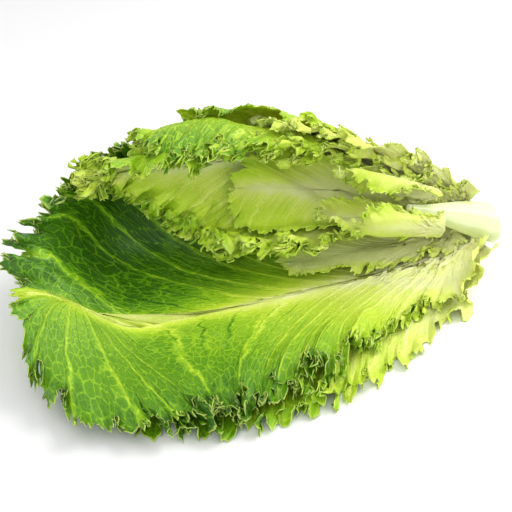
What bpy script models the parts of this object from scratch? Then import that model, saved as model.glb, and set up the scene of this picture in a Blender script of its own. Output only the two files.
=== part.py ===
"""A head of frilled leaf lettuce, cut at the stem and lying on its side, opened towards the front.

The head lies along X: the cut stem is at +X and the leaf tips are at -X.
The open side faces -Y, and +Z is up.
The origin is the middle of the box's base, on the surface that the head lies on.

Every place in the head is given by three numbers.
The station is the distance from the cut, towards the tips.
The turn is the angle round the core line in degrees: 0 the front, 90 down, 180 the back, 270 up.
The reach is the distance from the core line.
The leaves are layers in that space, listed from the outermost to the innermost.
Each takes a depth of it that it shares with no other leaf, so no two of them can cross.
"""

import math

import bmesh
import bpy
import numpy as np

# Driving dimensions of the head, in metres
CUT_TO_ORIGIN = 0.146
STEM_RADIUS = 0.0125
STEM_LENGTH = 0.060
STEM_TIP_RADIUS = 0.0035
CORE_HEIGHT_AT_CUT = 0.026
CORE_HEIGHT_OPEN = 0.071
OPEN_STATION = 0.200

# The head's outer reach by turn in degrees where it has opened
OPEN_REACH = (
    (-60, 0.040),
    (0, 0.110),
    (28, 0.160),
    (45, 0.138),
    (60, 0.118),
    (90, 0.110),
    (120, 0.114),
    (150, 0.099),
    (180, 0.089),
    (205, 0.077),
    (225, 0.0605),
    (250, 0.047),
    (270, 0.039),
    (300, 0.033),
)
# The same past the tips of the leaves, and the station at which that is reached
END_REACH = (
    (-60, 0.022, 0.205),
    (0, 0.090, 0.300),
    (28, 0.138, 0.306),
    (40, 0.104, 0.306),
    (60, 0.060, 0.302),
    (90, 0.042, 0.300),
    (120, 0.039, 0.298),
    (150, 0.042, 0.294),
    (178, 0.045, 0.288),
    (196, 0.050, 0.284),
    (222, 0.036, 0.208),
    (250, 0.027, 0.200),
    (300, 0.022, 0.205),
)
END_RUN = 0.070
REACH_AT_CUT = 0.0205
REACH_GROWTH = 0.22
OPENING_RUN = 0.155
FRONT_OPENING = 0.045
FLOOR_SHARPNESS = 9.0
HEART_REACH = 0.014
HEART_GROWTH = 0.12

# Blades
BLADE_THICKNESS = 0.0010
RIB_HALF_WIDTH = 0.0100
LEAST_GAP = 0.0006
SLAB_AT_BASE = 0.0080
FRILL_SHARE = 0.42
FILLED_SHARE = 0.70
PRESS_DEPTH = 0.0058
PRESSED = 0.85
RUFFLE_DROP = 4.5
RUFFLE_SWING = 0.08

STEM_COLOUR = (0.80, 0.84, 0.56)
OUTER_COLOUR = (0.10, 0.28, 0.03)
MIDDLE_COLOUR = (0.26, 0.46, 0.06)
HEART_COLOUR = (0.52, 0.66, 0.14)


def leaf(name, turn, front, back, start, length, tone, **more):
    """One leaf: its turn, its half widths to the front and back in degrees, and where it starts."""
    row = {
        "name": name,
        "turn": turn,
        "front": front,
        "back": back,
        "start": start,
        "length": length,
        "tone": tone,
        "body": 0.0058,  # depth of the layer inside the blade
        "edge": 0.0160,  # depth of the layer at its frilled margin
        "widest": 0.62,  # share of the length at which the leaf is widest
        "petiole": 30.0,  # half width of the base, in degrees
        "clasp": 15.0,  # more of it where the base clasps the stem
        "front_tip": 2.4,  # squareness of the tip's outline, towards the front
        "back_tip": 2.4,
        "rib": 0.0042,  # how much the midrib thickens the base
        "ruffles": 13,
        "folds": 4,
        "crease": 0.0,  # depth of a lengthwise valley, as a share of the layer
        "crease_turn": 90.0,
        "heart": False,
        "fade_from": 1.045,  # where its layer starts to close outside its margin
        "fade_run": 0.14,
        "solid": True,
        "seed": 0.0,
        "samples": 64,
    }
    row.update(more)
    return row


LEAVES = (
    leaf(
        "leaf_under",
        80,
        50,
        104,
        0.004,
        0.293,
        OUTER_COLOUR,
        seed=0.3,
        petiole=42,
        body=0.0098,
        edge=0.012,
        front_tip=3.2,
        back_tip=3.0,
        widest=0.55,
        rib=0.0020,
        ruffles=17,
        samples=80,
    ),
    leaf(
        "leaf_back_outer",
        184,
        55,
        38,
        0.007,
        0.184,
        OUTER_COLOUR,
        seed=1.1,
        edge=0.016,
        petiole=24,
        widest=0.56,
        ruffles=14,
        samples=80,
    ),
    leaf(
        "leaf_back_base",
        210,
        32,
        36,
        0.010,
        0.130,
        HEART_COLOUR,
        seed=5.9,
        edge=0.017,
        petiole=28,
        clasp=30,
        ruffles=12,
        samples=80,
    ),
    leaf(
        "leaf_front",
        78,
        49,
        110,
        0.013,
        0.290,
        OUTER_COLOUR,
        seed=2.4,
        edge=0.019,
        body=0.008,
        widest=0.58,
        front_tip=7.0,
        back_tip=4.5,
        petiole=32,
        clasp=34,
        ruffles=24,
        folds=5,
        crease=0.8,
        crease_turn=88.0,
        samples=144,
    ),
    leaf(
        "leaf_back_upper",
        200,
        50,
        36,
        0.017,
        0.200,
        MIDDLE_COLOUR,
        seed=3.7,
        edge=0.020,
        rib=0.0026,
        ruffles=18,
        widest=0.55,
        petiole=24,
        front_tip=1.8,
        back_tip=1.8,
        samples=112,
    ),
    leaf(
        "leaf_inner_front",
        106,
        28,
        24,
        0.021,
        0.116,
        HEART_COLOUR,
        seed=6.6,
        edge=0.012,
        petiole=26,
        ruffles=11,
    ),
    leaf(
        "opening",
        78,
        49,
        110,
        0.030,
        0.273,
        OUTER_COLOUR,
        body=0.012,
        edge=0.012,
        widest=0.58,
        front_tip=7.0,
        back_tip=4.5,
        fade_from=0.30,
        fade_run=1.00,
        solid=False,
    ),
    leaf(
        "leaf_inner_low",
        187,
        104,
        34,
        0.025,
        0.233,
        MIDDLE_COLOUR,
        seed=4.2,
        body=0.0066,
        edge=0.021,
        rib=0.0020,
        widest=0.5,
        front_tip=0.85,
        back_tip=1.5,
        ruffles=19,
        samples=112,
    ),
    leaf(
        "leaf_inner_back",
        166,
        52,
        34,
        0.030,
        0.132,
        HEART_COLOUR,
        seed=7.3,
        body=0.0068,
        edge=0.008,
        rib=0.0028,
        ruffles=11,
        samples=80,
    ),
    leaf(
        "leaf_heart_low",
        125,
        44,
        44,
        0.035,
        0.082,
        HEART_COLOUR,
        seed=8.8,
        heart=True,
        rib=0.0022,
        ruffles=9,
        samples=40,
    ),
    leaf(
        "leaf_heart_top",
        245,
        44,
        44,
        0.039,
        0.066,
        HEART_COLOUR,
        seed=9.1,
        heart=True,
        rib=0.0022,
        ruffles=9,
        samples=40,
    ),
    leaf(
        "leaf_heart_front",
        15,
        44,
        44,
        0.043,
        0.060,
        HEART_COLOUR,
        seed=10.4,
        heart=True,
        rib=0.0022,
        ruffles=8,
        samples=40,
    ),
)


def ease(value):
    """Goes smoothly from 0 to 1 as value does."""
    value = np.clip(value, 0.0, 1.0)
    return value * value * (3.0 - 2.0 * value)


def through(knots, at):
    """The smooth curve through knots of (place, value), read at some places."""
    places, values = np.array(knots, float).T
    slopes = np.gradient(values, places)
    low = np.clip(np.searchsorted(places, at) - 1, 0, len(places) - 2)
    step = places[low + 1] - places[low]
    u = np.clip((at - places[low]) / step, 0.0, 1.0)
    return (
        values[low] * (1 + 2 * u) * (1 - u) ** 2
        + values[low + 1] * u * u * (3 - 2 * u)
        + step * slopes[low] * u * (1 - u) ** 2
        - step * slopes[low + 1] * u * u * (1 - u)
    )


def core_height(station):
    """Height of the core line above the surface."""
    share = np.clip(station / OPEN_STATION, 0.0, 1.0)
    return CORE_HEIGHT_AT_CUT + (CORE_HEIGHT_OPEN - CORE_HEIGHT_AT_CUT) * (1 - (1 - share) ** 1.7)


def stem_radius(station):
    """Radius of the stem, which narrows to its growing point."""
    share = np.clip(station / STEM_LENGTH, 0.0, 1.0)
    return STEM_RADIUS + (STEM_TIP_RADIUS - STEM_RADIUS) * ease(share) ** 1.2


def outer_reach(station, turn):
    """Reach of the head's outer skin, which rests on the surface below it."""
    around = np.mod(turn + 60, 360) - 60
    closed = REACH_AT_CUT + REACH_GROWTH * station
    opened = through(OPEN_REACH, around)
    run = OPENING_RUN - FRONT_OPENING * np.exp(-(((around - 50) / 45) ** 2))
    free = closed + (opened - closed) * ease(station / run)
    down = np.maximum(np.sin(np.radians(turn)), 0.02)
    floor = core_height(station) / down + PRESS_DEPTH * down**2
    reach = (free**-FLOOR_SHARPNESS + floor**-FLOOR_SHARPNESS) ** (-1 / FLOOR_SHARPNESS)
    tips = np.array(END_REACH)
    ended = through(tips[:, [0, 1]], around)
    ending = ease((station - through(tips[:, [0, 2]], around)) / END_RUN + 1.0)
    return reach + (np.minimum(ended, reach) - reach) * ending


def outline(row, along, half, squareness):
    """Half width of one side's outline at a share of the leaf's length, with 1 at its widest."""
    base = row["petiole"] / half
    grown = base + (1 - base) * ease(along / row["widest"]) ** 1.1
    grown = grown + row["clasp"] / half * (1 - ease(along / 0.20))
    past = np.clip((along - row["widest"]) / (1 - row["widest"]), 0.0, 1.0)
    rounded = (1 - past**squareness) ** (1 / squareness)
    return np.where(along < row["widest"], grown, rounded)


def side_of(row, turn):
    """The angle from a leaf's midrib, and the half width and tip squareness of that side."""
    offset = np.mod(turn - row["turn"] + 180, 360) - 180
    half = np.where(offset < 0, row["front"], row["back"])
    squareness = np.where(offset < 0, row["front_tip"], row["back_tip"])
    return np.abs(offset), half, squareness


def spread(row, station, turn):
    """How far a place is from the leaf's midrib: 0 on it, 1 at its margin and more outside."""
    along = (station - row["start"]) / row["length"]
    offset, half, n = side_of(row, turn)
    across = offset / half
    past = np.maximum((along - row["widest"]) / (1 - row["widest"]), 0.0)
    side = across / outline(row, np.clip(along, 0.0, row["widest"] - 1e-6), half, n)
    return np.where(along < row["widest"], side, (across**n + past**n) ** (1 / n))


def presence(row, station, turn, away, skin):
    """1 where a leaf is, falling to 0 a little way outside its margin."""
    fade = np.clip(0.024 / skin, 0.28, 0.70) / np.radians(side_of(row, turn)[1])
    there = 1 - ease((away - row["fade_from"]) / np.maximum(fade, row["fade_run"]))
    return there * ease((station - row["start"] + 0.008) / 0.007)


def layer_span(number, station, turn):
    """Outer reach of a leaf's layer, and the layer's depth, once all of them share the room there is.

    A margin with more leaves on it is pressed flat, and a free one has room for its frill.
    """
    skin = outer_reach(station, turn)
    room = skin - stem_radius(station) * (station < STEM_LENGTH) - LEAST_GAP
    total, before, hearts, own, cover = 0.0, 0.0, 0.0, 0.0, 0.0
    for place in reversed(range(len(LEAVES))):
        row = LEAVES[place]
        away = spread(row, station, turn)
        there = presence(row, station, turn, away, skin)
        grown = ease((station - row["start"]) / row["length"] / 0.40)
        flare = ease((away - 0.50) / 0.40) * (1 - PRESSED * cover)
        depth = row["body"] + (row["edge"] - row["body"]) * flare
        depth = there * (SLAB_AT_BASE + (depth - SLAB_AT_BASE) * grown)
        cover = np.maximum(cover, there * row["solid"])
        total = total + depth
        if place < number:
            before = before + depth
            hearts = hearts + depth * row["heart"]
        if place == number:
            own = depth
    share = np.minimum(1.0, room / np.maximum(total, 1e-6))
    outer = skin - share * before
    if LEAVES[number]["heart"]:
        outer = np.minimum(outer, HEART_REACH + HEART_GROWTH * station - share * hearts)
    return outer, share * own


def waves(row, margin):
    """Ruffles and folds along a leaf's margin, each from -1 to 1, and the phase of the ruffles."""
    turn = 2 * math.pi
    seed = row["seed"]
    drift = 0.42 * np.sin(turn * (2.3 * margin + seed))
    drift = drift + 0.20 * np.sin(turn * (5.1 * margin + 2.7 * seed))
    phase = turn * (row["ruffles"] * margin + drift + 1.7 * seed)
    strength = 0.78 + 0.22 * np.sin(turn * (3.7 * margin + 0.6 * seed))
    ends = ease(np.minimum(margin, 1 - margin) / 0.10)
    fold = np.sin(turn * (row["folds"] * margin + 0.9 * seed))
    return strength * ends * np.sin(phase), fold * ends, phase


def margin_path(row, half, squareness):
    """Places along one side's margin, from base to tip: (share of its length, along, across)."""
    u = np.linspace(0.0, 1.0, 400)
    along = 0.5 * (1 - np.cos(math.pi * u))
    across = outline(row, along, half, squareness)
    width = math.radians(half) * 0.075
    steps = np.hypot(np.diff(along) * row["length"], np.diff(across) * width)
    length = np.concatenate([[0.0], np.cumsum(steps)])
    return length / length[-1], along, across


def blade_points(number, margin, out):
    """Points of a leaf's middle surface, and its thickness there.

    The margin runs from 0 at the base of the front side, round the tip at 0.5, to 1 at the base
    of the back side. The share out is 0 on the midrib and 1 at the margin.
    """
    row = LEAVES[number]
    ruffle, fold, phase = waves(row, margin)
    swing = RUFFLE_SWING * np.sin(2 * phase) / row["ruffles"] * out**3
    moved = np.clip(margin + swing * ease(np.minimum(margin, 1 - margin) / 0.08), 0.0, 1.0)
    gone = np.minimum(moved, 1 - moved) * 2
    still = np.minimum(margin, 1 - margin) * 2
    sides = [margin_path(row, row[side], row[side + "_tip"]) for side in ("front", "back")]
    edge_along, edge_across, rib_along = (
        np.where(
            margin < 0.5,
            np.interp(place, sides[0][0], sides[0][column]),
            np.interp(place, sides[1][0], sides[1][column]),
        )
        for place, column in ((gone, 1), (gone, 2), (still, 1))
    )
    rib_along = 0.88 * rib_along**2.0
    scallop = 1 + 0.035 * np.sin(2.0 * phase + 1.0) * out**4 * ease(still / 0.15)
    along = rib_along + (edge_along - rib_along) * out * scallop
    across = edge_across * out * scallop
    sign = np.where(margin < 0.5, -1.0, 1.0)
    station = row["start"] + row["length"] * along
    half = np.where(margin < 0.5, row["front"], row["back"])
    turn = row["turn"] + sign * half * across
    outer, depth = layer_span(number, station, turn)
    crease = row["crease"] * np.exp(-(((turn - row["crease_turn"]) / 9.0) ** 2))
    crease = crease * ease((along - 0.55) / 0.3)
    bend = np.clip(ruffle * out**RUFFLE_DROP + 0.40 * fold * out**1.4 - crease, -1.0, 1.0)
    reach = outer - depth * (0.5 + FRILL_SHARE * bend)
    angle = np.radians(turn)
    points = np.stack(
        [
            CUT_TO_ORIGIN - station,
            -reach * np.cos(angle),
            core_height(station) - reach * np.sin(angle),
        ],
        axis=-1,
    )
    from_rib = np.radians(np.abs(turn - row["turn"])) * reach
    rib_width = RIB_HALF_WIDTH * (1 - 0.75 * ease(along / 0.7))
    rib = row["rib"] * (1 - ease(along / 0.8)) * np.exp(-((from_rib / rib_width) ** 2))
    free = FILLED_SHARE * depth * (1 - 2 * FRILL_SHARE * np.abs(bend)) - 0.0002
    thick = np.minimum(BLADE_THICKNESS + rib, np.maximum(free, 0.0007))
    return points, thick


def rings_of(row):
    """Rings from the midrib out: how far out each is, and its steps along one side of the leaf."""
    full = row["samples"] // 2
    if max(row["front"], row["back"]) < 65:
        inner = [(out, full // 2) for out in (0.0, 0.15, 0.38, 0.62)]
        return inner + [(0.83, full), (1.0, full)]
    inner = [(out, full // 4) for out in (0.0, 0.09, 0.19)]
    outer = [(out, full) for out in (0.80, 0.90, 1.0)]
    return inner + [(out, full // 2) for out in (0.30, 0.42, 0.55, 0.68)] + outer


def blade_grid(row):
    """Places of a leaf's grid as (margin, out), and its triangles. Both sides share the midrib."""
    places, triangles, rings = [], [], []
    for out, steps in rings_of(row):
        ring = []
        for step in range(2 * steps + 1):
            if out == 0.0 and step > steps:
                ring.append(ring[2 * steps - step])
                continue
            ring.append(len(places))
            places.append((step / (2 * steps), out))
        rings.append(ring)
    for inner, outer in zip(rings, rings[1:]):
        ratio = (len(outer) - 1) // (len(inner) - 1)
        for step in range(len(inner) - 1):
            near = [inner[step], inner[step + 1]]
            far = outer[step * ratio : (step + 1) * ratio + 1]
            if ratio == 1:
                triangles += [
                    (near[0], far[0], far[1]),
                    (near[0], far[1], near[1]),
                ]
            else:
                triangles += [
                    (near[0], far[0], far[1]),
                    (near[0], far[1], near[1]),
                    (near[1], far[1], far[2]),
                ]
    triangles = [t for t in triangles if len(set(t)) == 3]
    rim = rings[-1] + [ring[-1] for ring in rings[-2:0:-1]] + [ring[0] for ring in rings[:-1]]
    return np.array(places), triangles, rim


def vertex_normals(points, triangles):
    corners = points[np.array(triangles)]
    flat = np.cross(corners[:, 1] - corners[:, 0], corners[:, 2] - corners[:, 0])
    normals = np.zeros_like(points)
    for corner in range(3):
        np.add.at(normals, np.array(triangles)[:, corner], flat)
    return normals / np.linalg.norm(normals, axis=1)[:, None]


def solid_from(name, points, triangles, colour):
    """A mesh object of closed, outward faces, with its own material."""
    corners = np.array(points)[np.array(triangles)]
    volume = np.einsum("ij,ij->i", corners[:, 0], np.cross(corners[:, 1], corners[:, 2])).sum()
    outward = triangles if volume > 0 else [(c, b, a) for a, b, c in triangles]
    mesh = bpy.data.meshes.new(name)
    shape = bmesh.new()
    verts = [shape.verts.new(p) for p in points]
    for corners in outward:
        shape.faces.new([verts[c] for c in corners])
    shape.to_mesh(mesh)
    shape.free()
    mesh.shade_smooth()
    mesh.set_sharp_from_angle(angle=math.radians(50))
    solid = bpy.data.objects.new(name, mesh)
    bpy.context.scene.collection.objects.link(solid)
    finish = bpy.data.materials.new(name)
    finish.use_nodes = True
    shader = finish.node_tree.nodes["Principled BSDF"]
    shader.inputs["Base Color"].default_value = (*colour, 1.0)
    shader.inputs["Roughness"].default_value = 0.45
    mesh.materials.append(finish)
    return solid


def make_leaf(number):
    """A leaf as a thin closed solid, with both faces split into triangles alike."""
    row = LEAVES[number]
    places, triangles, rim = blade_grid(row)
    middle, thick = blade_points(number, places[:, 0], places[:, 1])
    normals = vertex_normals(middle, triangles)
    middle[:, 2] = np.maximum(middle[:, 2], np.abs(normals[:, 2]) * thick / 2)
    upper = middle + normals * thick[:, None] / 2
    lower = middle - normals * thick[:, None] / 2
    count = len(middle)
    faces = list(triangles) + [(c + count, b + count, a + count) for a, b, c in triangles]
    for a, b in zip(rim, rim[1:] + rim[:1]):
        faces += [(a, a + count, b + count), (a, b + count, b)]
    points = np.concatenate([upper, lower])
    points[:, 2] = np.maximum(points[:, 2], 0.0)
    return solid_from(row["name"], points, faces, row["tone"])


def make_stem():
    """The cut stem, a cone along the core line with a flat cut and a rounded growing point."""
    sides = 24
    rings = [(0.0, 0.90), (0.0012, 1.0)] + [(STEM_LENGTH * k / 8, 1.0) for k in range(1, 9)]
    points, triangles = [], []
    for station, share in rings:
        radius = share * stem_radius(station)
        for side in range(sides):
            angle = 2 * math.pi * side / sides
            height = core_height(station) - radius * math.sin(angle)
            points.append((CUT_TO_ORIGIN - station, -radius * math.cos(angle), height))
    for ring in range(len(rings) - 1):
        for side in range(sides):
            a, b = ring * sides + side, ring * sides + (side + 1) % sides
            triangles += [(a, b, b + sides), (a, b + sides, a + sides)]
    last = (len(rings) - 1) * sides
    points.append((CUT_TO_ORIGIN, 0.0, core_height(0.0)))
    end = STEM_LENGTH + 0.6 * STEM_TIP_RADIUS
    points.append((CUT_TO_ORIGIN - end, 0.0, core_height(end)))
    for side in range(sides):
        a, b = side, (side + 1) % sides
        triangles += [(last + sides, b, a), (last + sides + 1, last + a, last + b)]
    return solid_from("stem", points, triangles, STEM_COLOUR)


def set_on_origin(solids):
    """Moves the head so that the middle of its box's base is the origin."""
    corners = np.array([v.co for solid in solids for v in solid.data.vertices])
    middle = (corners.min(axis=0) + corners.max(axis=0)) / 2
    for solid in solids:
        solid.location = (-middle[0], -middle[1], -corners[:, 2].min())


for old in list(bpy.data.objects):
    bpy.data.objects.remove(old, do_unlink=True)
set_on_origin([make_stem()] + [make_leaf(number) for number, row in enumerate(LEAVES) if row["solid"]])
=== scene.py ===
import math

import bpy
import numpy as np
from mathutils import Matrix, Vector


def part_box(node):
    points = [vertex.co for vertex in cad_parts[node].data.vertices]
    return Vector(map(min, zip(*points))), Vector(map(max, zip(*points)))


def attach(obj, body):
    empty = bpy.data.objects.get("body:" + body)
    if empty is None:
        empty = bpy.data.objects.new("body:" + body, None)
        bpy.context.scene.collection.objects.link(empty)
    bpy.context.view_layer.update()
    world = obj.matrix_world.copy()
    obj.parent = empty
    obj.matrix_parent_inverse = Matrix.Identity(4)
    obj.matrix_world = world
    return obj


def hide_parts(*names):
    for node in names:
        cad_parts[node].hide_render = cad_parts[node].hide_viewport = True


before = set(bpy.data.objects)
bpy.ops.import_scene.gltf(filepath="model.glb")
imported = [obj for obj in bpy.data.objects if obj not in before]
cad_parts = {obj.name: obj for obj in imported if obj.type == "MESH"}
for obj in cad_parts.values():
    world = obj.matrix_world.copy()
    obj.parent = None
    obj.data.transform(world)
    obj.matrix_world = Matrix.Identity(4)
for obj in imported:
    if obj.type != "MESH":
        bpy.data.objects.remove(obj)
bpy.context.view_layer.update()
print("frame loaded:", len(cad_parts), "nodes")

# The head's plan, in metres and degrees, as its solids have it.
# A place is a station from the cut, a turn round the core line and a reach from it.
headPlan = {
    "cutX": 0.146,
    "stemRadius": 0.0125,
    "stemLength": 0.060,
    "stemTipRadius": 0.0035,
    "stemTaper": 1.2,
    "coreHeightAtCut": 0.026,
    "coreHeightOpen": 0.071,
    "coreBend": 1.7,
    "openStation": 0.200,
    "endRun": 0.070,
    "reachAtCut": 0.0205,
    "reachGrowth": 0.22,
    "openingRun": 0.155,
    "frontOpening": 0.045,  # how much sooner the head opens at its front
    "frontTurn": 50.0,
    "frontSpread": 45.0,
    "floorSharpness": 9.0,
    "heartReach": 0.014,
    "heartGrowth": 0.12,
    "leastGap": 0.0006,
    "slabAtBase": 0.0080,
    "growRun": 0.40,  # share of a leaf's length over which its layer gets its own depth
    "flareFrom": 0.50,
    "flareRun": 0.40,
    "fadeRoom": 0.024,
    "fadeLimits": (0.28, 0.70),
    "baseRoom": 0.008,
    "baseRun": 0.007,
    "meanReach": 0.075,
    "ribEnd": 0.88,  # share of the length at which the last veins leave the midrib
    "scallop": 0.035,
    "foldShare": 0.40,
    "creaseSpread": 9.0,
    "frillShare": 0.42,
    "pressDepth": 0.0058,
    "pressed": 0.85,
    "ruffleDrop": 4.5,
    "ruffleSwing": 0.08,
    "ribHalfWidth": 0.0100,
    # outer reach by turn where the head has opened
    "openReach": (
        (-60, 0.040), (0, 0.110), (28, 0.160), (45, 0.138), (60, 0.118), (90, 0.110), (120, 0.114),
        (150, 0.099), (180, 0.089), (205, 0.077), (225, 0.0605), (250, 0.047), (270, 0.039),
        (300, 0.033),
    ),
    # the same past the tips, and the station at which it is reached
    "endReach": (
        (-60, 0.022, 0.205), (0, 0.090, 0.300), (28, 0.138, 0.306), (40, 0.104, 0.306),
        (60, 0.060, 0.302), (90, 0.042, 0.300), (120, 0.039, 0.298), (150, 0.042, 0.294),
        (178, 0.045, 0.288), (196, 0.050, 0.284), (222, 0.036, 0.208), (250, 0.027, 0.200),
        (300, 0.022, 0.205),
    ),
}

# What every leaf has unless its own dictionary says otherwise
commonLeaf = {
    "body": 0.0058,  # depth of the leaf's layer inside the blade
    "edge": 0.0160,  # the same at its frilled margin
    "widest": 0.62,
    "petiole": 30.0,
    "clasp": 15.0,
    "frontTip": 2.4,
    "backTip": 2.4,
    "rib": 0.0042,
    "ruffles": 13,
    "folds": 4,
    "crease": 0.0,
    "creaseTurn": 90.0,
    "heart": False,
    "fadeFrom": 1.045,
    "fadeRun": 0.14,
    "solid": True,
    "samples": 512,
    "bladeThickness": 0.00045,
    "floorGap": 0.0007,  # least height of its underside above the floor
    "frill": 0.55,  # share of the solid's own ruffles that the blade has
    # three sizes of waves along the margin, each on the one before it:
    # length, height, how far in from the margin they reach, and how far the crests overhang
    "curl": (0.0240, 0.0085, 0.0240, 0.60),
    "crimp": (0.0175, 0.0027, 0.0110, 0.30),
    "crisp": (0.0085, 0.0006, 0.0055, 0.0),
    "calmTip": 0.0,  # how much less the tip is frilled than the sides
    "lobePitch": 0.0150,
    "lobeDepth": 0.0036,
    "toothPitch": 0.0048,
    "toothDepth": 0.0021,
    "fanPower": 3.2,  # how far the veins start towards the base, on the midrib
    "fanBend": 1.25,  # how far they turn outwards on their way to the margin
    "puckerHeight": 0.0008,
    "veinDepth": 0.0004,
    "laterals": 30.0,  # side veins round the margin
    "netAcross": 250.0,  # cells of the vein net round the margin
    "netOut": 17.0,  # the same from the midrib to the margin
    "netPale": 0.16,  # how much paler that net is
    "drops": 1.0,  # how wet its patches of droplets are
    "ribWide": 0.0065,  # half width of the pale stripe along the midrib
    "ribPale": 0.55,  # how much paler the midrib is
    "ripeFrom": 0.10,  # share of the length where the green starts to deepen
    "ripeSpan": 0.80,
    "ripeMost": 0.80,
    "ripeOut": 0.30,  # how much greener the margin is than the middle
    "ripeFront": 0.0,  # how much greener the side towards the front is
    "backGreenAndShade": 0.0,  # the same for the other side, partly real green and partly painted shade where a leaf lies under another
    "tipPaintedHighlight": 0.0,  # the same for the tip; a negative value paints a highlight there as a paler tip
}

# The outline that the front leaf shares with the room left open over it
frontOutline = {
    "turn": 78,
    "front": 49,
    "back": 110,
    "widest": 0.58,
    "frontTip": 7.0,
    "backTip": 4.5,
}

# What the three young leaves round the core share
heartLeaf = {
    "front": 44,
    "back": 44,
    "heart": True,
    "rib": 0.0022,
    "ruffles": 9,
    "ripeMost": 0.16,
    "frill": 0.5,
    "curl": (0.0170, 0.0030, 0.0110, 0.50),
    "crimp": (0.0100, 0.0014, 0.0060, 0.30),
    "lobeDepth": 0.0024,
    "toothDepth": 0.0014,
}

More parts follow.
